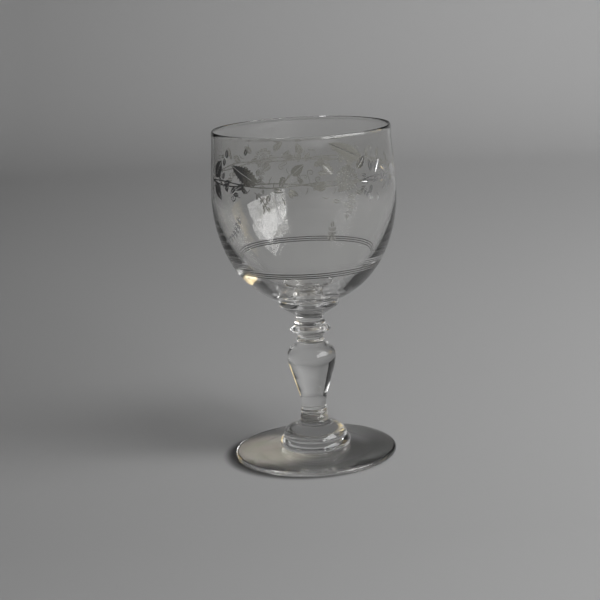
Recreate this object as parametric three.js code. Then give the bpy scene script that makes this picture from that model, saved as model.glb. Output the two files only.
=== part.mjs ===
import * as THREE from 'three';

// A stemmed wine glass, in millimetres. It stands on the XY plane with its axis along +Z.
//
// The glass is a stack of hot-worked gathers: foot disc, boss, collar, baluster, two necks with a
// ring between them, merese and bowl. Each gather is one closed body of revolution. Neighbours meet
// on a flat horizontal plane, where they were fused while hot, and a crease runs round each plane.

// Overall sizes.
const HEIGHT = 141.5;
const BOWL_RADIUS = 38.8;
const RIM_RADIUS = 37.4;
const FOOT_RADIUS = 34.8;
const WALL = 1.2;
const RIM_WALL = 0.85;

// Heights of the planes on which the gathers are fused, from the foot up.
const FOOT_TOP = 3.6;
const BOSS_TOP = 15.2;
const COLLAR_TOP = 18.0;
const BALUSTER_TOP = 49.4;
const LOWER_NECK_TOP = 53.6;
const RING_TOP = 56.9;
const UPPER_NECK_TOP = 62.0;
const MERESE_TOP = 68.2;

// Foot disc: a flat resting ring round a shallow hollow, a rounded edge and a gently rising top.
const REST_INNER = 24;
const REST_OUTER = 32.8;
const FOOT_HOLLOW = 1.2;
const FOOT_EDGE = 2.2;
const FOOT_CROWN = 2.7;
const FOOT_JOINT = 14.9;

// Boss: a rounded ring with a smaller dome on it, which sweeps up into the collar.
const BOSS = { joint: 14.6, ring: 15.2, dome: 13.8, ringTop: 7.8, sweep: 8.0, sweepHeight: 13.4 };
const COLLAR = { bottom: 5.9, bead: 6.0, top: 5.2 };

// Baluster: a thin stem with a small lip at its foot, swelling to rounded shoulders.
const BALUSTER = { lip: 5.8, stem: 5.4, body: 8.3, shoulder: 10.35, crown: 7.5, top: 5.7 };
const LIP_TOP = 19.8;
const BODY_HEIGHT = 34;
const SHOULDER_HEIGHT = 43.2;
const CROWN_HEIGHT = 48.2;

// Necks, ring and merese: radii at the creases, at each bead and at each waist.
const LOWER_NECK = { bottom: 5.3, bead: 6.0, waist: 5.4, waistHeight: 51.8, cove: 5.7, top: 6.6 };
const RING = { bottom: 6.8, underside: 7.85, edge: 8.65, edgeHeight: 55.0, upside: 8.15, top: 6.7 };
const UPPER_NECK = { bottom: 6.4, bead: 6.65, waist: 5.9, waistHeight: 59.3, cove: 6.0, top: 6.6 };
const MERESE = { bottom: 6.8, dish: 10.0, edge: 12.6, edgeHeight: 65.9, side: 12.8, top: 12.3 };

// Bowl: both walls are superellipses below the widest height, and ease in to the rim above it.
const BOWL_JOINT = 12.5;
const HEEL = 14.2;
const HEEL_TOP = 69.5;
const WIDEST_HEIGHT = 115;
const OUTER_DEPTH = 48.8;
const OUTER_POWER = 2.15;
const FLOOR_HEIGHT = 70.8;
const INNER_POWER = 2;

// Lip: the outside falls away from the crest in a long soft curve, the inside in a short tight one.
const LIP = { crest: 0.6, outerDrop: 1.8, innerDrop: 0.3 };

// Three fine lines cut round the lower bowl.
const LINE_HEIGHTS = [83.35, 84.3, 85.25];
const LINE_WIDTH = 0.4;
const LINE_DEPTH = 0.16;

// How finely the turned bodies are divided, round the axis and along each curve of an outline.
const SEGMENTS = 40;
const CURVE_STEPS = 4;

// The glass is colourless with a faint warm grey. The foot is rubbed from standing on tables.
const CLEAR = { color: 0xe6e9e4, roughness: 0.06, metalness: 0 };
const RUBBED = { color: 0xdcdfd8, roughness: 0.14, metalness: 0 };

/** Starts an outline on the axis and runs out along a fused plane. */
function startOn(plane, radius) {
  const path = new THREE.Path();
  path.moveTo(0, plane);
  path.lineTo(radius, plane);
  return path;
}

/** Bends the outline to a radius and height, with a given radius at the middle of the bend. */
function bendTo(path, middleRadius, radius, height) {
  const start = path.currentPoint;
  const pull = 2 * middleRadius - (start.x + radius) / 2;
  path.quadraticCurveTo(pull, (start.y + height) / 2, radius, height);
}

/** Closes the outline back to the axis along the upper fused plane, and returns its points. */
function finishOn(path, plane) {
  path.lineTo(0, plane);
  return path.getPoints(CURVE_STEPS);
}

function footOutline() {
  const path = new THREE.Path();
  const brow = FOOT_RADIUS - FOOT_EDGE / 2;
  path.moveTo(0, FOOT_HOLLOW);
  path.quadraticCurveTo(REST_INNER / 2, FOOT_HOLLOW, REST_INNER, 0);
  path.lineTo(REST_OUTER, 0);
  path.quadraticCurveTo(FOOT_RADIUS, 0, FOOT_RADIUS, FOOT_EDGE / 2);
  path.quadraticCurveTo(FOOT_RADIUS, FOOT_EDGE, brow, FOOT_EDGE);
  path.quadraticCurveTo((brow + FOOT_JOINT) / 2, FOOT_CROWN, FOOT_JOINT, FOOT_TOP);
  return finishOn(path, FOOT_TOP);
}

function bossOutline() {
  const path = startOn(FOOT_TOP, BOSS.joint);
  bendTo(path, BOSS.ring, BOSS.dome, BOSS.ringTop);
  const rise = (BOSS.sweepHeight - BOSS.ringTop) / 2;
  path.bezierCurveTo(
    BOSS.dome, BOSS.ringTop + rise,
    BOSS.sweep + rise, BOSS.sweepHeight - rise / 4,
    BOSS.sweep, BOSS.sweepHeight,
  );
  path.quadraticCurveTo(COLLAR.bottom + 0.4, (BOSS.sweepHeight + BOSS_TOP) / 2, COLLAR.bottom, BOSS_TOP);
  return finishOn(path, BOSS_TOP);
}

function collarOutline() {
  const path = startOn(BOSS_TOP, COLLAR.bottom);
  bendTo(path, COLLAR.bead, COLLAR.top, COLLAR_TOP);
  return finishOn(path, COLLAR_TOP);
}

function balusterOutline() {
  const { lip, stem, body, shoulder, crown, top } = BALUSTER;
  const path = startOn(COLLAR_TOP, COLLAR.top);
  bendTo(path, lip, stem, LIP_TOP);
  const stemRise = (BODY_HEIGHT - LIP_TOP) / 2;
  path.bezierCurveTo(stem, LIP_TOP + stemRise, stem + 1, LIP_TOP + stemRise, body, BODY_HEIGHT);
  const bodyRise = (SHOULDER_HEIGHT - BODY_HEIGHT) / 3;
  path.bezierCurveTo(
    body + 1, BODY_HEIGHT + bodyRise,
    shoulder, SHOULDER_HEIGHT - bodyRise,
    shoulder, SHOULDER_HEIGHT,
  );
  const crownRise = (CROWN_HEIGHT - SHOULDER_HEIGHT) / 2;
  path.bezierCurveTo(
    shoulder, SHOULDER_HEIGHT + crownRise,
    crown + 1.8, CROWN_HEIGHT - 1,
    crown, CROWN_HEIGHT,
  );
  path.quadraticCurveTo(top + 0.4, (CROWN_HEIGHT + BALUSTER_TOP) / 2, top, BALUSTER_TOP);
  return finishOn(path, BALUSTER_TOP);
}

function lowerNeckOutline() {
  const path = startOn(BALUSTER_TOP, LOWER_NECK.bottom);
  bendTo(path, LOWER_NECK.bead, LOWER_NECK.waist, LOWER_NECK.waistHeight);
  bendTo(path, LOWER_NECK.cove, LOWER_NECK.top, LOWER_NECK_TOP);
  return finishOn(path, LOWER_NECK_TOP);
}

function ringOutline() {
  const path = startOn(LOWER_NECK_TOP, RING.bottom);
  bendTo(path, RING.underside, RING.edge, RING.edgeHeight);
  bendTo(path, RING.upside, RING.top, RING_TOP);
  return finishOn(path, RING_TOP);
}

function upperNeckOutline() {
  const path = startOn(RING_TOP, UPPER_NECK.bottom);
  bendTo(path, UPPER_NECK.bead, UPPER_NECK.waist, UPPER_NECK.waistHeight);
  bendTo(path, UPPER_NECK.cove, UPPER_NECK.top, UPPER_NECK_TOP);
  return finishOn(path, UPPER_NECK_TOP);
}

function mereseOutline() {
  const path = startOn(UPPER_NECK_TOP, MERESE.bottom);
  bendTo(path, MERESE.dish, MERESE.edge, MERESE.edgeHeight);
  bendTo(path, MERESE.side, MERESE.top, MERESE_TOP);
  return finishOn(path, MERESE_TOP);
}

/** A point of a superellipse, at an angle from its widest point down to its lowest. */
function superellipse(radius, depth, power, angle) {
  const across = Math.cos(angle) ** (2 / power);
  const down = Math.sin(angle) ** (2 / power);
  return new THREE.Vector2(radius * across, WIDEST_HEIGHT - depth * down);
}

/** Points up the outer wall of the lower bowl, from one height to another. */
function outerWall(low, high, steps) {
  const angleAt = (height) => Math.asin(((WIDEST_HEIGHT - height) / OUTER_DEPTH) ** (OUTER_POWER / 2));
  const points = [];
  for (let step = 0; step <= steps; step += 1) {
    const angle = THREE.MathUtils.lerp(angleAt(low), angleAt(high), step / steps);
    points.push(superellipse(BOWL_RADIUS, OUTER_DEPTH, OUTER_POWER, angle));
  }
  return points;
}

/** One V-shaped line cut round the outer wall at a height. */
function cutLine(height) {
  const [below, middle, above] = outerWall(height - LINE_WIDTH / 2, height + LINE_WIDTH / 2, 2);
  middle.x -= LINE_DEPTH;
  return [below, middle, above];
}

/** A wall that eases from one radius at the widest height to another at the lip. */
function upperWall(wide, rim) {
  const top = HEIGHT - LIP.outerDrop;
  const rise = (top - WIDEST_HEIGHT) / 3;
  const curve = new THREE.CubicBezierCurve(
    new THREE.Vector2(wide, WIDEST_HEIGHT),
    new THREE.Vector2(wide, WIDEST_HEIGHT + rise),
    new THREE.Vector2(rim, top - rise),
    new THREE.Vector2(rim, top),
  );
  return curve.getPoints(CURVE_STEPS);
}

/** The rounded lip, from the outer wall over the crest to the inner wall. */
function lip() {
  const inner = RIM_RADIUS - RIM_WALL;
  const path = new THREE.Path();
  path.moveTo(RIM_RADIUS, HEIGHT - LIP.outerDrop);
  path.quadraticCurveTo(RIM_RADIUS, HEIGHT, RIM_RADIUS - LIP.crest, HEIGHT);
  path.quadraticCurveTo(inner, HEIGHT, inner, HEIGHT - LIP.innerDrop);
  return path.getPoints(CURVE_STEPS / 2).slice(1);
}

/** The inner wall of the lower bowl, from the widest height down to the floor on the axis. */
function innerWall(steps) {
  const points = [];
  for (let step = 1; step <= steps; step += 1) {
    const angle = (Math.PI / 2) * (step / steps);
    points.push(superellipse(BOWL_RADIUS - WALL, WIDEST_HEIGHT - FLOOR_HEIGHT, INNER_POWER, angle));
  }
  points.at(-1).x = 0;
  return points;
}

function bowlOutline() {
  const heel = startOn(MERESE_TOP, BOWL_JOINT);
  const [heelTop] = outerWall(HEEL_TOP, WIDEST_HEIGHT, 1);
  bendTo(heel, HEEL, heelTop.x, heelTop.y);
  const lowestLine = LINE_HEIGHTS[0] - LINE_WIDTH / 2;
  const highestLine = LINE_HEIGHTS.at(-1) + LINE_WIDTH / 2;
  return [
    ...heel.getPoints(CURVE_STEPS / 2),
    ...outerWall(HEEL_TOP, lowestLine, 6).slice(1, -1),
    ...LINE_HEIGHTS.flatMap(cutLine),
    ...outerWall(highestLine, WIDEST_HEIGHT, 7).slice(1, -1),
    ...upperWall(BOWL_RADIUS, RIM_RADIUS),
    ...lip(),
    ...upperWall(BOWL_RADIUS - WALL, RIM_RADIUS - RIM_WALL).reverse(),
    ...innerWall(12),
  ];
}

/** One turned body of glass, named after the piece it is. */
function gather(name, outline, finish) {
  const mesh = new THREE.Mesh(
    new THREE.LatheGeometry(outline, SEGMENTS),
    new THREE.MeshStandardMaterial(finish),
  );
  mesh.name = name;
  return mesh;
}

// Outlines are drawn with height along Y, so the whole stack is turned once to stand along Z.
const glass = new THREE.Group();
glass.rotation.x = Math.PI / 2;
glass.add(
  gather('foot_disc', footOutline(), RUBBED),
  gather('foot_boss', bossOutline(), CLEAR),
  gather('stem_collar', collarOutline(), CLEAR),
  gather('baluster_stem', balusterOutline(), CLEAR),
  gather('lower_neck', lowerNeckOutline(), CLEAR),
  gather('ring_knop', ringOutline(), CLEAR),
  gather('upper_neck', upperNeckOutline(), CLEAR),
  gather('bowl_merese', mereseOutline(), CLEAR),
  gather('bowl', bowlOutline(), CLEAR),
);

const wineGlass = new THREE.Group();
wineGlass.add(glass);

export default wineGlass;
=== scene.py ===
import math
import random

import bmesh
import bpy
from mathutils import Matrix, Vector
from mathutils.geometry import delaunay_2d_cdt


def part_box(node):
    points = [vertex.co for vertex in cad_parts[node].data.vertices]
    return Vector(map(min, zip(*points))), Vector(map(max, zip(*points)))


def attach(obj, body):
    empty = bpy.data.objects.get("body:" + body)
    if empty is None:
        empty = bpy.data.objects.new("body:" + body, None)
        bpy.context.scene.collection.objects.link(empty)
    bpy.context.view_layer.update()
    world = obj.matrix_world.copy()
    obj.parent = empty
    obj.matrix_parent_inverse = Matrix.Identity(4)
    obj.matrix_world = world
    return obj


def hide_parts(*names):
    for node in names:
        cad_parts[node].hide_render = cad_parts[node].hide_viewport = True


# A stemmed wine glass with an engraved garland. Each gather of glass in the frame is replaced by a
# finely turned body of the same shape. Outlines are in millimetres, as (radius, height) points.

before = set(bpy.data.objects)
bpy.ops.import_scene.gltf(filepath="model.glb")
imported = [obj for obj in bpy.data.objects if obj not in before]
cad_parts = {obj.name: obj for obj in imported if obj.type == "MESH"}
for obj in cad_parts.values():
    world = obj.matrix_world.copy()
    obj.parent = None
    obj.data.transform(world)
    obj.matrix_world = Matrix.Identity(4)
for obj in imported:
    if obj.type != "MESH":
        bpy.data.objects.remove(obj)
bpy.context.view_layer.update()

MM = 0.001
BODY = "root"

# Distances that count as none, in millimetres: from the axis, between heights, between points.
ON_AXIS = 1e-6
SAME_HEIGHT = 0.01
SAME_POINT = 0.0001

# How finely the bodies are turned: steps round the axis, the longest step along an outline, the
# number of steps down the inside of the bowl from its widest height to the floor, and the least
# number of steps in a curve.
BOWL_SEGMENTS = 256
STEM_SEGMENTS = 144
BOWL_STEP = 0.8
LIP_STEP = 0.15
STEM_STEP = 0.3
INNER_STEPS = 64
LEAST_STEPS = 3

# Faces that meet at a steeper angle than this keep a sharp edge.
SHARP_ANGLE = math.radians(30)

# Material slots shared by all the pieces.
GLASS, JOINT, CUT, LINE = range(4)

# Foot disc.
REST_INNER = 24
REST_OUTER = 32.8
FOOT_HOLLOW = 1.2
FOOT_EDGE = 2.2
FOOT_CROWN = 2.7

# Boss and collar.
BOSS_RING, BOSS_DOME, BOSS_SWEEP = 15.2, 13.8, 8.0
BOSS_RING_TOP, BOSS_SWEEP_HEIGHT = 7.8, 13.4
COLLAR_BEAD = 6.0

# How far the last curve before a narrow joint is pulled outward.
JOINT_PULL = 0.4

# Baluster.
LIP, LIP_TOP = 5.8, 19.8
STEM_RADIUS = 5.4
BODY_RADIUS, BODY_HEIGHT = 8.3, 34
SHOULDER_HEIGHT = 43.2
CROWN, CROWN_HEIGHT = 7.5, 48.2
STEM_PULL, BODY_PULL = 1, 1
CROWN_PULL, CROWN_DROP = 1.8, 1

# Necks, ring and merese.
LOWER_BEAD, LOWER_WAIST, LOWER_WAIST_HEIGHT, LOWER_COVE = 6.0, 5.4, 51.8, 5.7
RING_UNDERSIDE, RING_EDGE_HEIGHT, RING_UPSIDE = 7.85, 55.0, 8.15
UPPER_BEAD, UPPER_WAIST, UPPER_WAIST_HEIGHT, UPPER_COVE = 6.65, 5.9, 59.3, 6.0
MERESE_DISH, MERESE_EDGE_HEIGHT, MERESE_SIDE = 10.0, 65.9, 12.8

# Bowl.
WALL = 1.2
RIM_WALL = 0.85
WIDEST_HEIGHT = 115
HEEL, HEEL_TOP = 14.2, 69.5
OUTER_DEPTH, OUTER_POWER = 48.8, 2.15
FLOOR_HEIGHT, INNER_POWER = 70.8, 2.0
LIP_CREST, LIP_OUTER_DROP, LIP_INNER_DROP = 0.6, 1.8, 0.3
LINE_HEIGHTS = (83.35, 84.3, 85.25)
LINE_WIDTH, LINE_DEPTH = 0.4, 0.16

# The band of the outer wall that carries the garland, how deep that is cut, and the cosine to the
# wall's normal below which a face is the side of a cut.
BAND_BOTTOM, BAND_TOP = 95.5, 138.5
BAND_STEP = 1.3
CUT_DEPTH = 0.06
SIDE_WALL_COSINE = 0.8


# ---------------------------------------------------------------- sizes from the frame

def planes(node):
    """The lowest and highest heights of a CAD node, in millimetres."""
    low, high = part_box(node)
    return low.z / MM, high.z / MM


def radius(node):
    """The largest radius of a CAD node, in millimetres."""
    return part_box(node)[1].x / MM


def radius_at(node, height):
    """The radius of a CAD node's own edge on a horizontal plane, in millimetres."""
    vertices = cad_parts[node].data.vertices
    level = [v.co.xy.length for v in vertices if abs(v.co.z - height * MM) < SAME_HEIGHT * MM]
    return max(level) / MM


def crease(below, above):
    """The shared radius of the crease between two fused gathers."""
    height = planes(below)[1]
    return (radius_at(below, height) + radius_at(above, height)) / 2


# ---------------------------------------------------------------- outlines

class Outline:
    """Half a section of a turned body, as points and the slot of the stretch that ends at each."""

    def __init__(self, start_radius, start_height, step=STEM_STEP):
        self.points = [(start_radius, start_height)]
        self.slots = [GLASS]
        self.step = step

    def to(self, end_radius, end_height, slot=GLASS):
        """One straight stretch."""
        self.points.append((end_radius, end_height))
        self.slots.append(slot)

    def curve(self, *controls):
        """A Bezier curve whose last control is its end."""
        knots = [Vector(self.points[-1])] + [Vector(c) for c in controls]
        reach = sum((b - a).length for a, b in zip(knots, knots[1:]))
        steps = max(LEAST_STEPS, math.ceil(reach / self.step))
        for step in range(1, steps + 1):
            level = knots
            while len(level) > 1:
                level = [a.lerp(b, step / steps) for a, b in zip(level, level[1:])]
            self.to(level[0].x, level[0].y)

    def bend(self, middle, end_radius, end_height):
        """A curve to an end point that has a given radius half way."""
        start_radius, start_height = self.points[-1]
        pull = 2 * middle - (start_radius + end_radius) / 2
        self.curve((pull, (start_height + end_height) / 2), (end_radius, end_height))


def fused_outline(height, edge):
    """An outline that starts with the flat face on which a gather is fused to the one below."""
    outline = Outline(0, height)
    outline.to(edge, height, JOINT)
    return outline


def foot_disc():
    """The disc foot: its hollow, the ring it rests on, its rounded edge and its rising top."""
    bottom, top = planes("foot_disc")
    edge = radius("foot_disc")
    brow = edge - FOOT_EDGE / 2
    joint = crease("foot_disc", "foot_boss")
    outline = Outline(0, FOOT_HOLLOW)
    outline.curve((REST_INNER / 2, FOOT_HOLLOW), (REST_INNER, bottom))
    outline.to(REST_OUTER, bottom)
    outline.curve((edge, bottom), (edge, FOOT_EDGE / 2))
    outline.curve((edge, FOOT_EDGE), (brow, FOOT_EDGE))
    outline.curve(((brow + joint) / 2, FOOT_CROWN), (joint, top))
    outline.to(0, top, JOINT)
    return outline


def foot_boss():
    """The boss on the foot: a rounded ring, with a dome that sweeps in to the collar."""
    bottom, top = planes("foot_boss")
    outline = fused_outline(bottom, crease("foot_disc", "foot_boss"))
    outline.bend(BOSS_RING, BOSS_DOME, BOSS_RING_TOP)
    rise = (BOSS_SWEEP_HEIGHT - BOSS_RING_TOP) / 2
    outline.curve(
        (BOSS_DOME, BOSS_RING_TOP + rise),
        (BOSS_SWEEP + rise, BOSS_SWEEP_HEIGHT - rise / 4),
        (BOSS_SWEEP, BOSS_SWEEP_HEIGHT),
    )
    joint = crease("foot_boss", "stem_collar")
    outline.curve((joint + JOINT_PULL, (BOSS_SWEEP_HEIGHT + top) / 2), (joint, top))
    outline.to(0, top, JOINT)
    return outline


def stem_collar():
    """The bead at the foot of the stem."""
    bottom, top = planes("stem_collar")
    outline = fused_outline(bottom, crease("foot_boss", "stem_collar"))
    outline.bend(COLLAR_BEAD, crease("stem_collar", "baluster_stem"), top)
    outline.to(0, top, JOINT)
    return outline


def baluster_stem():
    """The inverted baluster, from the lip at its foot to the crown on its shoulder."""
    bottom, top = planes("baluster_stem")
    shoulder = radius("baluster_stem")
    outline = fused_outline(bottom, crease("stem_collar", "baluster_stem"))
    outline.bend(LIP, STEM_RADIUS, LIP_TOP)
    rise = (BODY_HEIGHT - LIP_TOP) / 2
    outline.curve(
        (STEM_RADIUS, LIP_TOP + rise),
        (STEM_RADIUS + STEM_PULL, LIP_TOP + rise),
        (BODY_RADIUS, BODY_HEIGHT),
    )
    rise = (SHOULDER_HEIGHT - BODY_HEIGHT) / 3
    outline.curve(
        (BODY_RADIUS + BODY_PULL, BODY_HEIGHT + rise),
        (shoulder, SHOULDER_HEIGHT - rise),
        (shoulder, SHOULDER_HEIGHT),
    )
    rise = (CROWN_HEIGHT - SHOULDER_HEIGHT) / 2
    outline.curve(
        (shoulder, SHOULDER_HEIGHT + rise),
        (CROWN + CROWN_PULL, CROWN_HEIGHT - CROWN_DROP),
        (CROWN, CROWN_HEIGHT),
    )
    joint = crease("baluster_stem", "lower_neck")
    outline.curve((joint + JOINT_PULL, (CROWN_HEIGHT + top) / 2), (joint, top))
    outline.to(0, top, JOINT)
    return outline


def lower_neck():
    """The neck below the ring: a bead, a waist and a cove."""
    bottom, top = planes("lower_neck")
    outline = fused_outline(bottom, crease("baluster_stem", "lower_neck"))
    outline.bend(LOWER_BEAD, LOWER_WAIST, LOWER_WAIST_HEIGHT)
    outline.bend(LOWER_COVE, crease("lower_neck", "ring_knop"), top)
    outline.to(0, top, JOINT)
    return outline


def ring_knop():
    """The sharp-edged ring."""
    bottom, top = planes("ring_knop")
    outline = fused_outline(bottom, crease("lower_neck", "ring_knop"))
    outline.bend(RING_UNDERSIDE, radius("ring_knop"), RING_EDGE_HEIGHT)
    outline.bend(RING_UPSIDE, crease("ring_knop", "upper_neck"), top)
    outline.to(0, top, JOINT)
    return outline


def upper_neck():
    """The neck above the ring: a bead, a waist and a cove."""
    bottom, top = planes("upper_neck")
    outline = fused_outline(bottom, crease("ring_knop", "upper_neck"))
    outline.bend(UPPER_BEAD, UPPER_WAIST, UPPER_WAIST_HEIGHT)
    outline.bend(UPPER_COVE, crease("upper_neck", "bowl_merese"), top)
    outline.to(0, top, JOINT)
    return outline


def bowl_merese():
    """The dished disc under the bowl."""
    bottom, top = planes("bowl_merese")
    outline = fused_outline(bottom, crease("upper_neck", "bowl_merese"))
    outline.bend(MERESE_DISH, radius_at("bowl_merese", MERESE_EDGE_HEIGHT), MERESE_EDGE_HEIGHT)
    outline.bend(MERESE_SIDE, crease("bowl_merese", "bowl"), top)
    outline.to(0, top, JOINT)
    return outline


# ---------------------------------------------------------------- bowl walls

BOWL_RADIUS = radius("bowl")
BOWL_TOP = planes("bowl")[1]
LIP_HEIGHT = BOWL_TOP - LIP_OUTER_DROP
RIM_RADIUS = radius_at("bowl", LIP_HEIGHT)


def lower_wall(wide, depth, power, height):
    """The radius of a superellipse wall at a height below the widest one."""
    down = min(1, (WIDEST_HEIGHT - height) / depth)
    return wide * (1 - down ** power) ** (1 / power)


def upper_wall(wide, rim, height):
    """The radius of a wall that eases from one radius at the widest height to another at the lip."""
    t = (height - WIDEST_HEIGHT) / (LIP_HEIGHT - WIDEST_HEIGHT)
    return wide + (rim - wide) * t * t * (3 - 2 * t)


def outer_radius(height):
    """The radius of the bowl's outer wall at a height."""
    if height < WIDEST_HEIGHT:
        return lower_wall(BOWL_RADIUS, OUTER_DEPTH, OUTER_POWER, height)
    return upper_wall(BOWL_RADIUS, RIM_RADIUS, height)


def outer_normal(x, y, height):
    """The outward direction of the bowl's outer wall, at a point beside it and a height."""
    nudge = 0.01
    slope = (outer_radius(height + nudge) - outer_radius(height - nudge)) / (2 * nudge)
    outward = Vector((x, y, 0)).normalized()
    return (outward - Vector((0, 0, slope))).normalized()


def follow_outer_wall(outline, high):
    """Runs an outline up the outer wall to a height."""
    low = outline.points[-1][1]
    steps = max(1, math.ceil((high - low) / BOWL_STEP))
    for step in range(1, steps + 1):
        height = low + (high - low) * step / steps
        outline.to(outer_radius(height), height)


def lower_bowl():
    """The bowl's outline from its fused face up to the garland band."""
    outline = Outline(0, planes("bowl")[0], BOWL_STEP / 2)
    outline.to(crease("bowl_merese", "bowl"), planes("bowl")[0], JOINT)
    outline.bend(HEEL, outer_radius(HEEL_TOP), HEEL_TOP)
    for height in LINE_HEIGHTS:
        follow_outer_wall(outline, height - LINE_WIDTH / 2)
        outline.to(outer_radius(height) - LINE_DEPTH, height, LINE)
        outline.to(outer_radius(height + LINE_WIDTH / 2), height + LINE_WIDTH / 2, LINE)
    follow_outer_wall(outline, BAND_BOTTOM)
    return outline


def follow_inner_wall(outline):
    """Runs an outline from the lip down the inner wall to the middle of the floor."""
    wide, rim = BOWL_RADIUS - WALL, RIM_RADIUS - RIM_WALL
    steps = math.ceil((LIP_HEIGHT - WIDEST_HEIGHT) / BOWL_STEP)
    for step in range(1, steps + 1):
        height = LIP_HEIGHT + (WIDEST_HEIGHT - LIP_HEIGHT) * step / steps
        outline.to(upper_wall(wide, rim, height), height)
    depth = WIDEST_HEIGHT - FLOOR_HEIGHT
    for step in range(1, INNER_STEPS + 1):
        turn = math.pi / 2 * step / INNER_STEPS
        across = math.cos(turn) ** (2 / INNER_POWER) if step < INNER_STEPS else 0
        down = math.sin(turn) ** (2 / INNER_POWER)
        outline.to(wide * across, WIDEST_HEIGHT - depth * down)


def upper_bowl():
    """The bowl's outline from the garland band over the lip and down the inner wall to the floor."""
    outline = Outline(outer_radius(BAND_TOP), BAND_TOP, BOWL_STEP)
    follow_outer_wall(outline, LIP_HEIGHT)
    inner = RIM_RADIUS - RIM_WALL
    outline.step = LIP_STEP
    outline.curve((RIM_RADIUS, BOWL_TOP), (RIM_RADIUS - LIP_CREST, BOWL_TOP))
    outline.curve((inner, BOWL_TOP), (inner, BOWL_TOP - LIP_INNER_DROP))
    outline.to(inner, LIP_HEIGHT)
    follow_inner_wall(outline)
    return outline


# ---------------------------------------------------------------- garland

# The garland is drawn on the unrolled wall. A shape is a list of (across, up) points in millimetres,
# and each motif below is a list of shapes, drawn from its base toward +across.

# Strokes, leaves, sprigs, buds and strings of beads. The end of a stroke, the depth of a tooth, and
# the leaflets and sepals are shares of the whole, widths and beads are in millimetres, turns in
# degrees. A belly below 1 makes a leaf widest near its base.
STROKE_END = 0.35
LINE_SPACING = 0.7
DOT_SIDES = 8
LEAF_STEPS, LEAF_BELLY = 10, 0.8
MIDRIB, TOOTH_DEPTH = 0.13, 0.3
SPRIG_WIDTH, CURL_WIDTH, VINE_WIDTH = 0.36, 0.38, 0.5
VINE_HEIGHT = 122.6
LEAFLET_TURN, LEAFLET_NARROW, LEAFLET_WIDE = 52, 0.42, 0.45
LEAFLET_START, LEAFLET_TAIL, LEAFLET_SHRINK = 0.7, 0.4, 0.25
SEPAL_TURN, SEPAL_LENGTH, SEPAL_WIDTH = 38, 0.5, 0.35
BEAD, END_BEAD, BEAD_SWAY, BEAD_GAP = 0.34, 0.62, 0.25, 0.3

# A tendril winds in round its centre, from the side of its neck: the knots in a turn, the angle it
# starts at in degrees, and its radius and how much that shrinks at each knot.
CURL_NECK, CURL_CENTRE = 0.8, (1.7, 0.5)
CURL_KNOTS, CURL_START = 6, 150
CURL_RADIUS, CURL_CLOSING = 0.62, 0.07

# The rings of a flower: how many petals, and where they start, how long and how wide they are, as
# shares of the flower's size, and how far round the first petal is turned, as a share of the gap
# between two. Its eye is a ring of small dots round one dot.
PETAL_RINGS = ((11, 0.56, 0.44, 0.3), (9, 0.27, 0.25, 0.17))
PETAL_TURN = 0.3
EYE_DOTS, EYE_RADIUS, EYE_DOT = 6, 0.17, 0.3

# The band is cut open at a seam.
SEAM_COLUMN = -68
SEAM_BEARING = 360 * SEAM_COLUMN / BOWL_SEGMENTS

# The foliage strewn along the vine: how many places it has and the seed it is drawn with, how far it
# strays along the vine, as a share of the gap between two, and below and above it, in millimetres,
# its range of sizes, and how many degrees it keeps clear of the seam.
UNDERGROWTH, UNDERGROWTH_SEED = 190, 12
UNDERGROWTH_STRAY = 0.4
UNDERGROWTH_HEIGHTS = -9, 8
UNDERGROWTH_SIZES = 0.7, 1.15
SEAM_CLEAR = 9


def tapered(t):
    """The share of a stroke's full width at a place along it."""
    return STROKE_END + (1 - STROKE_END) * math.sin(math.pi * t)


def smooth_line(knots):
    """Points along a Catmull-Rom curve through the knots."""
    ends = [Vector(knot) for knot in (knots[0], *knots, knots[-1])]
    line = [ends[0]]
    for before, start, end, after in zip(ends, ends[1:], ends[2:], ends[3:]):
        steps = max(2, math.ceil((end - start).length / LINE_SPACING))
        for step in range(1, steps + 1):
            t = step / steps
            line.append(0.5 * (
                2 * start + (end - before) * t
                + (2 * before - 5 * start + 4 * end - after) * t ** 2
                + (3 * start - before - 3 * end + after) * t ** 3
            ))
    return line


def ribbon(line, width, taper=True):
    """A narrow stroke along a line of points, as a chain of four-sided shapes."""
    sides = []
    last = len(line) - 1
    for k in range(last + 1):
        along = line[min(k + 1, last)] - line[max(k - 1, 0)]
        half = width / 2 * (tapered(k / last) if taper else 1)
        sides.append(Vector((-along.y, along.x)).normalized() * half)
    shapes = []
    for here, side, ahead, side_ahead in zip(line, sides, line[1:], sides[1:]):
        corners = (here - side, ahead - side_ahead, ahead + side_ahead, here + side)
        shapes.append([tuple(corner) for corner in corners])
    return shapes


def stroke(*knots, width=0.42):
    """A tapered stroke along a smooth line through the knots."""
    return ribbon(smooth_line(knots), width)


def dot(across, up, size=0.45):
    """A small round spot."""
    turns = [2 * math.pi * k / DOT_SIDES for k in range(DOT_SIDES)]
    return [[(across + size * math.cos(t), up + size * math.sin(t)) for t in turns]]


def leaf(length, width, teeth=0):
    """Two halves of a leaf beside a polished midrib, with a smooth or a toothed edge."""
    steps = 3 * teeth if teeth else LEAF_STEPS
    halves = []
    for side in (1, -1):
        edge = []
        for step in range(steps + 1):
            t = step / steps
            bulge = math.sin(math.pi * t ** LEAF_BELLY)
            notch = TOOTH_DEPTH * (step % 3) / 2 if teeth else 0
            edge.append((length * t, side * (MIDRIB + width / 2 * bulge * (1 - notch))))
        halves.append(edge)
    return halves


def placed(shapes, across=0, up=0, turn=0, size=1):
    """Shapes turned by an angle in degrees, scaled, and moved to a place."""
    cos, sin = math.cos(math.radians(turn)) * size, math.sin(math.radians(turn)) * size
    return [
        [(across + x * cos - y * sin, up + x * sin + y * cos) for x, y in shape]
        for shape in shapes
    ]


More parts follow.
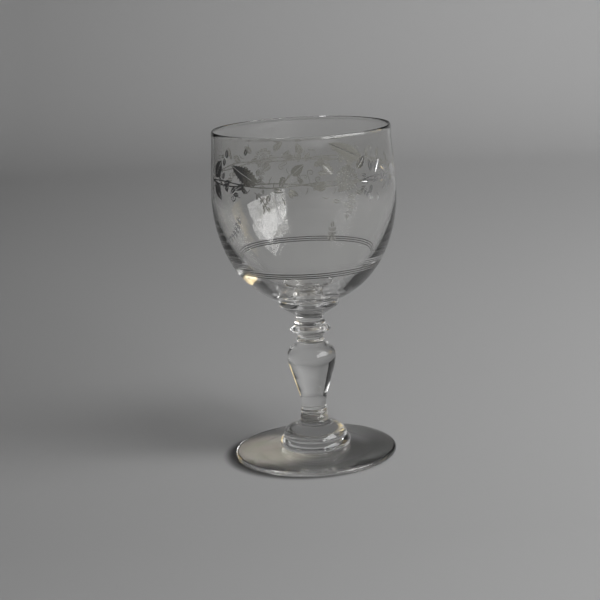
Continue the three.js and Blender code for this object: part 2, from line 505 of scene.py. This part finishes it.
def sprig(length, pairs, leaflet=2.3, bow=0.08):
    """A thin bowed stem with leaflets in pairs and one at its tip."""
    shapes = stroke((0, 0), (length / 2, bow * length), (length, 0), width=SPRIG_WIDTH)
    for pair in range(pairs):
        t = (pair + LEAFLET_START) / (pairs + LEAFLET_TAIL)
        up = 4 * bow * length * t * (1 - t)
        size = 1 - LEAFLET_SHRINK * t
        for turn in (LEAFLET_TURN, -LEAFLET_TURN):
            shapes += placed(leaf(leaflet, leaflet * LEAFLET_NARROW), length * t, up, turn, size)
    return shapes + placed(leaf(leaflet, leaflet * LEAFLET_WIDE), length, 0)


def curl(size, turns=1.4):
    """A tendril that winds in on itself."""
    across, up = size * CURL_CENTRE[0], size * CURL_CENTRE[1]
    knots = [(0, 0), (size * CURL_NECK, up)]
    for step in range(int(turns * CURL_KNOTS) + 1):
        angle = math.radians(CURL_START - 360 / CURL_KNOTS * step)
        reach = size * (CURL_RADIUS - CURL_CLOSING * step)
        knots.append((across + reach * math.cos(angle), up + reach * math.sin(angle)))
    return stroke(*knots, width=CURL_WIDTH)


def bud(length, width):
    """A closed bud in two sepals."""
    shapes = leaf(length, width)
    for turn in (SEPAL_TURN, -SEPAL_TURN):
        shapes += placed(leaf(length * SEPAL_LENGTH, width * SEPAL_WIDTH), turn=turn)
    return shapes


def flower(size):
    """Two rings of petals round a dotted eye."""
    shapes = []
    for count, reach, petal, width in PETAL_RINGS:
        for k in range(count):
            turn = 360 * (k + PETAL_TURN) / count
            out = Vector((math.cos(math.radians(turn)), math.sin(math.radians(turn)))) * reach * size
            shapes += placed(leaf(petal * size, width * size), out.x, out.y, turn)
    shapes += dot(0, 0)
    for k in range(EYE_DOTS):
        turn = math.radians(360 / EYE_DOTS * k)
        eye = EYE_RADIUS * size
        shapes += dot(eye * math.cos(turn), eye * math.sin(turn), EYE_DOT)
    return shapes


def bead_string(count, pitch):
    """A row of dots that ends in a larger one."""
    shapes = []
    for k in range(count):
        shapes += dot(k * pitch, BEAD_SWAY * math.sin(2 * k), BEAD)
    return shapes + dot(count * pitch + BEAD_GAP, 0, END_BEAD)


def vine(swing, waves, phase):
    """A wavy stem all round the bowl, cut at the seam."""
    line = []
    for k in range(BOWL_SEGMENTS + 1):
        angle = 2 * math.pi * (k + SEAM_COLUMN) / BOWL_SEGMENTS
        up = VINE_HEIGHT + swing * math.sin(waves * angle + phase)
        line.append(Vector((angle * BOWL_RADIUS, up)))
    return ribbon(line, VINE_WIDTH, taper=False)


# Every motif of the garland, with the bearing and height of its base, and its turn in degrees.
GARLAND = (
    (leaf(9.2, 5.6), -68, 124.4, 50),
    (leaf(9.0, 4.8), -68, 122.4, -50),
    (bud(3.8, 2.0), -54, 132.8, 78),
    (leaf(3.8, 1.8), -57, 129.4, 70),
    (leaf(3.4, 1.5), -37.5, 134.4, 62),
    (leaf(15.5, 7.2, 11), -28, 123.2, 154),
    (leaf(5.2, 2.2), -38, 122.6, 205),
    (curl(2.6), -47, 121.6, -110),
    (sprig(8.0, 3), -30.5, 120.0, -48),
    (stroke((0, 0), (2.4, 2.6), (4.2, 4.2)), -13, 122.8, 0),
    (bud(6.2, 3.4), -6.5, 127.0, 38),
    (leaf(4.2, 2.0), -8.5, 120.6, -28),
    (curl(2.4), 4, 123.2, 68),
    (curl(2.2), 13, 122.0, 118),
    (flower(5.3), 27, 123.8, 0),
    (leaf(6.6, 3.4, 5), 34.5, 127.2, 48),
    (leaf(6.0, 3.0, 5), 18.0, 126.4, 132),
    (sprig(6.0, 3), 35, 119.8, -38),
    (sprig(9.6, 4, 2.5), 29.6, 118.9, -104),
    (sprig(6.4, 3, 2.8, 0), 15.6, 98.6, 86),
    (sprig(16.5, 7, 2.4, 0.16), -42.4, 110.2, -136),
    (leaf(6.6, 3.2, 5), 49, 124.6, 58),
    (leaf(5.2, 1.8), 45.5, 125.2, 100),
    (leaf(6.6, 4.2), 65.5, 123.4, 12),
    (leaf(6.4, 3.6), 62, 122.4, -98),
    (bead_string(7, 1.25), 74.5, 119.6, -94),
    (curl(2.4), 84, 122.4, 52),
    (leaf(7.0, 3.6, 5), 93, 121.8, -36),
    (leaf(6.0, 3.0, 5), 104, 123.2, 46),
    (leaf(5.2, 2.0), 121, 124.2, 112),
    (curl(2.8), 127, 122.6, 60),
    (leaf(19.0, 7.8, 14), 136, 122.2, 22),
    (sprig(8.6, 4), 146, 120.4, -70),
    (sprig(6.0, 3), 168, 121.2, -128),
    (bud(5.4, 3.0), -179, 124.8, 72),
    (curl(2.4), -170, 122.0, -62),
    (flower(5.0), -153, 124.0, 0),
    (leaf(6.2, 3.2, 5), -160.5, 127.0, 136),
    (leaf(5.6, 2.8, 5), -144, 127.0, 42),
    (sprig(9.0, 4), -152, 119.0, -88),
    (leaf(6.0, 3.0, 5), -134, 123.4, 38),
    (leaf(5.4, 2.6, 5), -130, 121.6, -52),
    (bud(4.2, 2.2), -123, 127.6, 74),
    (curl(2.4), -117, 122.8, -58),
    (leaf(5.6, 2.8, 5), -108, 122.8, 40),
    (leaf(4.8, 2.2), -84, 123.4, 62),
    (sprig(6.0, 3), -82, 121.6, -66),
)


def undergrowth(count):
    """Small leaves, tendrils and strokes strewn along the vine, clear of the band's seam."""
    chance = random.Random(UNDERGROWTH_SEED)
    motifs = (
        leaf(4.6, 2.2, 4),
        leaf(3.4, 1.4),
        curl(1.5, 1.0),
        stroke((0, 0), (1.6, 0.4), (3.2, 0)),
    )
    strewn = []
    for k in range(count):
        bearing = 360 * (k + chance.uniform(-UNDERGROWTH_STRAY, UNDERGROWTH_STRAY)) / count
        height = VINE_HEIGHT + chance.triangular(*UNDERGROWTH_HEIGHTS)
        size = chance.uniform(*UNDERGROWTH_SIZES)
        motif, turn = placed(chance.choice(motifs), size=size), chance.uniform(0, 360)
        if abs(bearing - SEAM_BEARING % 360) > SEAM_CLEAR:
            strewn.append((motif, bearing, height, turn))
    return strewn


def garland():
    """Every shape of the garland on the unrolled wall."""
    shapes = vine(0.8, 5, 0.4) + vine(1.0, 5, 3.0)
    for motif, bearing, height, turn in (*GARLAND, *undergrowth(UNDERGROWTH)):
        from_seam = (bearing - SEAM_BEARING) % 360
        across = math.radians(SEAM_BEARING + from_seam) * BOWL_RADIUS
        shapes += placed(motif, across, height, turn)
    return shapes


def anticlockwise(shape):
    """The shape with its corners in anticlockwise order."""
    area = sum(a[0] * b[1] - b[0] * a[1] for a, b in zip(shape, shape[1:] + shape[:1]))
    return shape if area > 0 else shape[::-1]


def band_triangles():
    """The unrolled band as points and triangles, and whether each triangle is engraved."""
    columns = BOWL_SEGMENTS + 1
    rows = math.ceil((BAND_TOP - BAND_BOTTOM) / BAND_STEP) + 1
    points = []
    for row in range(rows):
        up = BAND_BOTTOM + (BAND_TOP - BAND_BOTTOM) * row / (rows - 1)
        for column in range(columns):
            angle = 2 * math.pi * (column + SEAM_COLUMN) / BOWL_SEGMENTS
            points.append((angle * BOWL_RADIUS, up))
    top = (rows - 1) * columns
    border = [(k, k + 1) for first in (0, top) for k in range(first, first + columns - 1)]
    for side in (0, columns - 1):
        border += [(k * columns + side, (k + 1) * columns + side) for k in range(rows - 1)]
    faces = []
    for shape in garland():
        faces.append(range(len(points), len(points) + len(shape)))
        points += anticlockwise(shape)
    places, _, triangles, _, _, origins = delaunay_2d_cdt(
        [Vector(point) for point in points], border, faces, 0, SAME_POINT, True
    )
    return places, triangles, [bool(origin) for origin in origins]


def engraved_band(bm):
    """Adds the band of the outer wall, with the garland sunk into it."""
    places, triangles, marks = band_triangles()
    corners = []
    for across, up in places:
        angle = across / BOWL_RADIUS
        out = outer_radius(up) * MM
        corners.append(bm.verts.new((out * math.sin(angle), -out * math.cos(angle), up * MM)))
    engraved = []
    for triangle, mark in zip(triangles, marks):
        face = bm.faces.new([corners[k] for k in triangle])
        if mark:
            engraved.append(face)
    bmesh.ops.remove_doubles(bm, verts=bm.verts, dist=SAME_POINT * MM)
    engraved = [face for face in engraved if face.is_valid]
    result = bmesh.ops.extrude_face_region(bm, geom=engraved)
    floor = {item for item in result["geom"] if isinstance(item, bmesh.types.BMVert)}
    for vertex in floor:
        vertex.co -= outer_normal(vertex.co.x, vertex.co.y, vertex.co.z / MM) * CUT_DEPTH * MM
        for face in vertex.link_faces:
            face.material_index = CUT


# ---------------------------------------------------------------- meshes

def revolve(bm, outline, segments):
    """Adds the surface that an outline sweeps round the axis."""
    rings = []
    for out, height in outline.points:
        if out < ON_AXIS:
            rings.append([bm.verts.new((0, 0, height * MM))] * segments)
            continue
        angles = [2 * math.pi * k / segments for k in range(segments)]
        rings.append([
            bm.verts.new((out * MM * math.sin(a), -out * MM * math.cos(a), height * MM))
            for a in angles
        ])
    for below, above, slot in zip(rings, rings[1:], outline.slots[1:]):
        for k in range(segments):
            after = (k + 1) % segments
            corners = (below[k], below[after], above[after], above[k])
            face = bm.faces.new(tuple(dict.fromkeys(corners)))
            face.material_index = slot


def add_object(name, data):
    """Puts a mesh, a light or a camera into the scene."""
    thing = bpy.data.objects.new(name, data)
    bpy.context.scene.collection.objects.link(thing)
    return thing


def smooth_object(name, bm, materials):
    """Turns a bmesh into a smooth object."""
    mesh = bpy.data.meshes.new(name)
    for face in bm.faces:
        face.smooth = True
    bm.to_mesh(mesh)
    bm.free()
    for material in materials:
        mesh.materials.append(material)
    return add_object(name, mesh)


def finished_piece(name, bm, materials, nodes):
    """Turns a bmesh into a smooth piece that rides on the glass's one body."""
    piece = smooth_object(name, bm, materials)
    piece.data.set_sharp_from_angle(angle=SHARP_ANGLE)
    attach(piece, BODY)
    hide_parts(*nodes)
    return piece


def turned_piece(node, outline, materials):
    """One turned gather that stands for its CAD node."""
    bm = bmesh.new()
    revolve(bm, outline, STEM_SEGMENTS)
    finished_piece(node + "_glass", bm, materials, [node])


def band_normal(place, face_normal):
    """The exact normal of a corner on the engraved band, or none for a corner off the band."""
    height = place.z / MM
    if not BAND_BOTTOM <= height <= BAND_TOP:
        return Vector()
    if place.xy.length / MM <= outer_radius(height) - WALL / 4:
        return Vector()
    straight_out = outer_normal(place.x, place.y, height)
    side_wall = face_normal.dot(straight_out) < SIDE_WALL_COSINE
    return face_normal if side_wall else straight_out


def true_normals(mesh):
    """Gives the engraved band the exact normals of the wall, so that the cutting leaves no dents."""
    normals = []
    for face in mesh.polygons:
        for loop in face.loop_indices:
            place = mesh.vertices[mesh.loops[loop].vertex_index].co
            normals.append(band_normal(place, face.normal))
    mesh.normals_split_custom_set(normals)


def bowl_piece(materials):
    """The bowl in one body, with its cut lines and its engraved garland."""
    bm = bmesh.new()
    revolve(bm, lower_bowl(), BOWL_SEGMENTS)
    revolve(bm, upper_bowl(), BOWL_SEGMENTS)
    engraved_band(bm)
    bowl = finished_piece("bowl_glass", bm, materials, ["bowl"])
    true_normals(bowl.data)


# ---------------------------------------------------------------- materials

GLASS_IOR = 1.52

# Noise textures: where the ramp between two tints starts and ends, and the detail of tints and bumps.
RAMP_LOW, RAMP_HIGH = 0.35, 0.65
TINT_DETAIL, BUMP_DETAIL = 3, 2

# Clear glass: its tint and how much that drifts, the sizes of patches and bumps in millimetres, how
# much they are drawn out along the axis, and the depth of the bumps.
CLEAR_TINT, CLEAR_DRIFT = (0.968, 0.966, 0.958), 0.012
CLEAR_PATCH, CLEAR_BUMP, CLEAR_STRETCH = 9, 7, (1, 1, 0.35)
CLEAR_BUMP_DEPTH = 0.012

# Glass cut by the wheel: the tint and roughness of the garland and of the three lines, then what they
# share, which is the drift of the tint, the sizes of patches and bumps, and the depth of the bumps.
# Both tints are painted shade: the garland's is darkened and the lines' is nearly black, so that the
# cuts read dark.
ENGRAVED_PAINTED_SHADE_TINT, ENGRAVED_ROUGHNESS = (0.43, 0.42, 0.36), 0.25
# The lines' nearly black tint is painted shade in the grooves.
LINE_PAINTED_SHADE_TINT, LINE_ROUGHNESS = (0.004, 0.004, 0.003), 0.5
CUT_DRIFT, CUT_PATCH = 1.25, 0.8
CUT_BUMP, CUT_BUMP_DEPTH = 0.25, 0.01


def new_material(name):
    """An empty material, with its nodes, its links and its output."""
    material = bpy.data.materials.new(name)
    material.use_nodes = True
    nodes = material.node_tree.nodes
    nodes.clear()
    output = nodes.new("ShaderNodeOutputMaterial")
    return material, nodes, material.node_tree.links, output


def texture_place(nodes, links, stretch=(1, 1, 1)):
    """Object coordinates in millimetres, stretched along each axis, for a procedural texture."""
    place = nodes.new("ShaderNodeTexCoord")
    scaled = nodes.new("ShaderNodeMapping")
    scaled.inputs["Scale"].default_value = [factor / MM for factor in stretch]
    links.new(place.outputs["Object"], scaled.inputs["Vector"])
    return scaled.outputs["Vector"]


def noise_tint(nodes, links, place, size, low, high):
    """A colour that drifts between two tints over patches of a given size."""
    patches = nodes.new("ShaderNodeTexNoise")
    patches.inputs["Scale"].default_value = 1 / size
    patches.inputs["Detail"].default_value = TINT_DETAIL
    links.new(place, patches.inputs["Vector"])
    ramp = nodes.new("ShaderNodeValToRGB")
    ramp.color_ramp.elements[0].position = RAMP_LOW
    ramp.color_ramp.elements[1].position = RAMP_HIGH
    ramp.color_ramp.elements[0].color = (*low, 1)
    ramp.color_ramp.elements[1].color = (*high, 1)
    links.new(patches.outputs["Fac"], ramp.inputs["Fac"])
    return ramp.outputs["Color"]


def noise_bump(nodes, links, place, size, depth):
    """Slight unevenness of a surface, as a normal: bumps of a given size and depth."""
    bumps = nodes.new("ShaderNodeTexNoise")
    bumps.inputs["Scale"].default_value = 1 / size
    bumps.inputs["Detail"].default_value = BUMP_DETAIL
    links.new(place, bumps.inputs["Vector"])
    bump = nodes.new("ShaderNodeBump")
    bump.inputs["Strength"].default_value = 1
    bump.inputs["Distance"].default_value = depth * MM
    links.new(bumps.outputs["Fac"], bump.inputs["Height"])
    return bump.outputs["Normal"]


def glass_shader(nodes, links, output, tint, roughness, normal):
    """Glass that bends light, with a tint and a normal that come from textures."""
    shader = nodes.new("ShaderNodeBsdfPrincipled")
    links.new(tint, shader.inputs["Base Color"])
    links.new(normal, shader.inputs["Normal"])
    shader.inputs["Roughness"].default_value = roughness
    shader.inputs["IOR"].default_value = GLASS_IOR
    shader.inputs["Transmission Weight"].default_value = 1
    links.new(shader.outputs["BSDF"], output.inputs["Surface"])


def clear_glass(name):
    """Old soda glass: colourless with a faint warm grey, and a little uneven from the blowing."""
    material, nodes, links, output = new_material(name)
    place = texture_place(nodes, links, CLEAR_STRETCH)
    paler = [min(1, channel + CLEAR_DRIFT) for channel in CLEAR_TINT]
    tints = noise_tint(nodes, links, place, CLEAR_PATCH, CLEAR_TINT, paler)
    normal = noise_bump(nodes, links, place, CLEAR_BUMP, CLEAR_BUMP_DEPTH)
    glass_shader(nodes, links, output, tints, 0, normal)
    return material


def cut_glass(name, tint, roughness):
    """Glass left rough and streaky by the wheel, which scatters what is behind it, in a tint that is
    darkened as painted shade.
    """
    material, nodes, links, output = new_material(name)
    place = texture_place(nodes, links)
    paler = [channel * CUT_DRIFT for channel in tint]
    tints = noise_tint(nodes, links, place, CUT_PATCH, tint, paler)
    normal = noise_bump(nodes, links, place, CUT_BUMP, CUT_BUMP_DEPTH)
    glass_shader(nodes, links, output, tints, roughness, normal)
    return material


def fused_joint(name):
    """Nothing shows where two gathers of the same glass are fused."""
    material, nodes, links, output = new_material(name)
    shader = nodes.new("ShaderNodeBsdfTransparent")
    links.new(shader.outputs["BSDF"], output.inputs["Surface"])
    return material


# ---------------------------------------------------------------- studio

# Places and sizes on the stage are in metres, except for the gap under the glass and the step along
# the floor's outline, which are in millimetres.
STUDIO_CENTRE = (-0.15, -1.0)
FLOOR_RADIUS = 1.9
COVE_RADIUS = 0.25
COVE_HEIGHT = 0.6
STUDIO_SEGMENTS, STUDIO_STEP = 96, 20
FLOOR_GAP = 0.02

# The tones of the paper, each as two (place, factor) pairs: across, in depth, up, and out from the
# centre of the glass's painted shadow, from its axis and from the centre of the painted patch of
# light, then the colours of that patch and the size of its mottle. All are painted light and shade:
# the paper is darker to the left, the front and high up, a painted shadow lies round the foot, the
# paper under the foot is painted darker, and a painted patch of light glows there.
# Painted light and shade: the paper is darker to the left, the front and high up.
PAINTED_LIGHT_ACROSS = (-0.3, 0.37), (0.4, 0.68)
PAINTED_LIGHT_DEEP = (-0.1, 0.74), (0.9, 1.25)
PAINTED_SHADE_ABOVE = (0.18, 1), (0.4, 0.1)
# A painted shadow of the glass round the foot, darkest at its left.
PAINTED_SHADOW_CENTRE, SHADE = (-0.0035, -0.0005), ((0.033, 0.35), (0.0375, 1))
# Painted shade under the foot, which also keeps the painted patch of light under it.
UNDER_FOOT = (0.0335, 0.85), (0.0345, 0)
# A glowing painted patch of light under the left of the foot, mottled in warm colours.
PAINTED_LIGHT_CENTRE, PATCH = (-0.018, -0.001), ((0.01, 0.4), (0.026, 0))
PAINTED_LIGHT_COLOURS, PAINTED_LIGHT_MOTTLE = ((0.8, 0.8, 0.62), (1.08, 0.95, 0.86)), 0.009

# The window, with the near and far edge of each pane.
WINDOW_X = 0.85
WINDOW_LOW, WINDOW_HIGH = 0.2, 1.0
PANES = ((-0.05, -0.98), (-1.06, -1.75))
WINDOW_RADIANCE = 5.6

# The cards: the x they stand at, then their near, far, low and high edges.
WARM_CARD = (0.77, 0.1, 0.48, 0.11, 0.4)
WARM_MOTTLE, WARM_COLOURS = 0.08, ((0.3, 0.25, 0.14), (1.9, 1.5, 0.8))
BLACK_CARD = (-0.5, -0.6, 0.75, 0, 0.5)
BLACK = (0.04, 0.04, 0.04, 1)

# The even light of the room, and the fill light: where it is, what it points at, how large and how
# bright it is.
ROOM_LIGHT = 0.14
FILL_PLACE, FILL_AIM = (0.6, -0.5, 1.4), (0.2, 0.8, 0.1)
FILL_SIZE, FILL_RADIANCE = 0.6, 5.0


def ramp_along(nodes, links, value, start, end, smooth=False):
    """A factor that goes from one value to another between two places, as (place, factor) pairs."""
    ramp = nodes.new("ShaderNodeMapRange")
    if smooth:
        ramp.interpolation_type = "SMOOTHSTEP"
    ramp.inputs["From Min"].default_value, ramp.inputs["To Min"].default_value = start
    ramp.inputs["From Max"].default_value, ramp.inputs["To Max"].default_value = end
    links.new(value, ramp.inputs["Value"])
    return ramp.outputs["Result"]


def combined(nodes, links, operation, factors):
    """Several factors put together one after another."""
    result = factors[0]
    for factor in factors[1:]:
        step = nodes.new("ShaderNodeMath")
        step.operation = operation
        links.new(result, step.inputs[0])
        links.new(factor, step.inputs[1])
        result = step.outputs[0]
    return result


def distance_from(nodes, links, place, centre):
    """How far a place is from a point on the floor."""
    flat = nodes.new("ShaderNodeVectorMath")
    flat.operation = "DISTANCE"
    flat.inputs[1].default_value = (*centre, -FLOOR_GAP * MM)
    links.new(place, flat.inputs[0])
    return flat.outputs["Value"]


def pale_paper():
    """Matt pale paper with painted light and shade: darker to the left and the front, lighter to the
    right and the back, and painted darker high up, where it fades into the dim room above.

    It also carries a painted shadow of the glass round the foot, painted shade under the foot, and
    there a glowing painted patch of light, which stands in for the light gathered there from the
    window, which would take far too many light paths to find.
    """
    material, nodes, links, output = new_material("pale_paper")
    place = nodes.new("ShaderNodeNewGeometry").outputs["Position"]
    axes = nodes.new("ShaderNodeSeparateXYZ")
    links.new(place, axes.inputs[0])
    shade, patch, axis = (
        distance_from(nodes, links, place, centre)
        for centre in (PAINTED_SHADOW_CENTRE, PAINTED_LIGHT_CENTRE, (0, 0))
    )
    # Painted shade under the foot and a painted shadow round it, which darken the tone below.
    under_foot = ramp_along(nodes, links, axis, *UNDER_FOOT)
    shade = ramp_along(nodes, links, shade, *SHADE, smooth=True)
    patch = ramp_along(nodes, links, patch, *PATCH, smooth=True)
    tone = combined(nodes, links, "MULTIPLY", [
        combined(nodes, links, "MAXIMUM", [shade, under_foot]),
        # Painted light and shade across, in depth and up.
        ramp_along(nodes, links, axes.outputs["X"], *PAINTED_LIGHT_ACROSS),
        ramp_along(nodes, links, axes.outputs["Y"], *PAINTED_LIGHT_DEEP),
        ramp_along(nodes, links, axes.outputs["Z"], *PAINTED_SHADE_ABOVE, smooth=True),
    ])
    shader = nodes.new("ShaderNodeBsdfDiffuse")
    links.new(tone, shader.inputs["Color"])
    # The painted patch of light: the paper glows under the foot.
    gathered = nodes.new("ShaderNodeEmission")
    mottle = noise_tint(nodes, links, place, PAINTED_LIGHT_MOTTLE, *PAINTED_LIGHT_COLOURS)
    links.new(mottle, gathered.inputs["Color"])
    strength = combined(nodes, links, "MULTIPLY", [patch, under_foot])
    links.new(strength, gathered.inputs["Strength"])
    both = nodes.new("ShaderNodeAddShader")
    links.new(shader.outputs["BSDF"], both.inputs[0])
    links.new(gathered.outputs["Emission"], both.inputs[1])
    links.new(both.outputs["Shader"], output.inputs["Surface"])
    return material


def studio_floor():
    """A round floor that curves up into a wall all round."""
    bm = bmesh.new()
    cove = Outline(0, 0, STUDIO_STEP)
    flat = FLOOR_RADIUS / MM
    bend = COVE_RADIUS / MM
    cove.to(flat, 0)
    cove.curve((flat + bend, 0), (flat + bend, bend))
    cove.to(flat + bend, COVE_HEIGHT / MM)
    revolve(bm, cove, STUDIO_SEGMENTS)
    bmesh.ops.reverse_faces(bm, faces=bm.faces)
    floor = smooth_object("studio_floor", bm, [pale_paper()])
    floor.location = (*STUDIO_CENTRE, -FLOOR_GAP * MM)


def window_light():
    """Two panes of soft light on the right, side by side."""
    for number, (near, far) in enumerate(PANES):
        light = bpy.data.lights.new(f"window_pane_{number + 1}", "AREA")
        light.shape = "RECTANGLE"
        light.size = abs(far - near)
        light.size_y = WINDOW_HIGH - WINDOW_LOW
        light.energy = WINDOW_RADIANCE * math.pi * light.size * light.size_y
        pane = add_object(light.name, light)
        pane.location = (WINDOW_X, (near + far) / 2, (WINDOW_LOW + WINDOW_HIGH) / 2)
        pane.rotation_euler = (math.radians(90), 0, math.radians(90))


def card(name, edges, material):
    """A flat card that stands at one side of the studio, which only the glass sees."""
    x, near, far, low, high = edges
    corners = [(x, near, low), (x, far, low), (x, far, high), (x, near, high)]
    mesh = bpy.data.meshes.new(name)
    mesh.from_pydata(corners, [], [(0, 1, 2, 3)])
    mesh.materials.append(material)
    screen = add_object(name, mesh)
    screen.visible_camera = False
    screen.visible_diffuse = False
    screen.visible_shadow = False


def warm_card():
    """A mottled warm glow low on the right, like lit wood beside the table."""
    material, nodes, links, output = new_material("warm_card")
    place = nodes.new("ShaderNodeNewGeometry").outputs["Position"]
    glow = noise_tint(nodes, links, place, WARM_MOTTLE, *WARM_COLOURS)
    shader = nodes.new("ShaderNodeEmission")
    links.new(glow, shader.inputs["Color"])
    links.new(shader.outputs["Emission"], output.inputs["Surface"])
    card("warm_card", WARM_CARD, material)


def fill_light():
    """A soft light on the paper behind the glass, which the glass itself doesn't see."""
    light = bpy.data.lights.new("fill_light", "AREA")
    light.size = FILL_SIZE
    light.energy = FILL_RADIANCE * math.pi * FILL_SIZE ** 2
    fill = add_object(light.name, light)
    fill.location = FILL_PLACE
    fill.rotation_euler = (Vector(FILL_PLACE) - Vector(FILL_AIM)).to_track_quat("Z", "Y").to_euler()
    fill.visible_glossy = False
    fill.visible_transmission = False


def black_flag():
    """A black card on the left, for the dark edges of the glass."""
    material, nodes, links, output = new_material("black_card")
    shader = nodes.new("ShaderNodeBsdfDiffuse")
    shader.inputs["Color"].default_value = BLACK
    links.new(shader.outputs["BSDF"], output.inputs["Surface"])
    card("black_flag", BLACK_CARD, material)


def room_light():
    """Weak even light from the whole room."""
    world = bpy.data.worlds.new("dim_room")
    world.use_nodes = True
    background = world.node_tree.nodes["Background"]
    background.inputs["Color"].default_value = (1, 1, 1, 1)
    background.inputs["Strength"].default_value = ROOM_LIGHT
    bpy.context.scene.world = world


# The camera: metres from the axis and above the table, lens and sensor in millimetres, and how far
# it is turned down, to the left and about its own axis.
CAMERA_DISTANCE = 0.651
CAMERA_HEIGHT = 0.2168
CAMERA_LENS, CAMERA_SENSOR = 94.2, 36
CAMERA_DOWN = math.radians(12.9)
CAMERA_LEFT = math.radians(0.334)
CAMERA_ROLL = math.radians(2.84)


def main_camera():
    """The camera that takes the picture from the front, a little above the glass."""
    data = bpy.data.cameras.new("main_camera")
    data.lens = CAMERA_LENS
    data.sensor_width = CAMERA_SENSOR
    camera = add_object("main_camera", data)
    turn = (
        Matrix.Rotation(CAMERA_LEFT, 4, "Z")
        @ Matrix.Rotation(math.pi / 2 - CAMERA_DOWN, 4, "X")
        @ Matrix.Rotation(-CAMERA_ROLL, 4, "Z")
    )
    camera.matrix_world = Matrix.Translation((0, -CAMERA_DISTANCE, CAMERA_HEIGHT)) @ turn
    bpy.context.scene.camera = camera


# How many times a light path may meet a surface, in all, on mirror-like and on see-through ones.
BOUNCES, GLOSSY_BOUNCES, TRANSPARENT_BOUNCES = 32, 16, 64


def picture_settings():
    """Plain tones, and light paths long enough for glass behind glass."""
    scene = bpy.context.scene
    scene.view_settings.view_transform = "Standard"
    scene.cycles.max_bounces = BOUNCES
    scene.cycles.transmission_bounces = BOUNCES
    scene.cycles.transparent_max_bounces = TRANSPARENT_BOUNCES
    scene.cycles.glossy_bounces = GLOSSY_BOUNCES


slots = [
    clear_glass("clear_glass"),
    fused_joint("fused_joint"),
    # The garland's glass, with a darkened tint that is painted shade.
    cut_glass("engraved_glass", ENGRAVED_PAINTED_SHADE_TINT, ENGRAVED_ROUGHNESS),
    # The three lines, tinted nearly black as painted shade in their grooves.
    cut_glass("cut_line", LINE_PAINTED_SHADE_TINT, LINE_ROUGHNESS),
]
turned_piece("foot_disc", foot_disc(), slots)
for node, outline in (
    ("foot_boss", foot_boss()),
    ("stem_collar", stem_collar()),
    ("baluster_stem", baluster_stem()),
    ("lower_neck", lower_neck()),
    ("ring_knop", ring_knop()),
    ("upper_neck", upper_neck()),
    ("bowl_merese", bowl_merese()),
):
    turned_piece(node, outline, slots)
bowl_piece(slots)

studio_floor()
window_light()
room_light()
warm_card()
fill_light()
black_flag()
main_camera()
picture_settings()
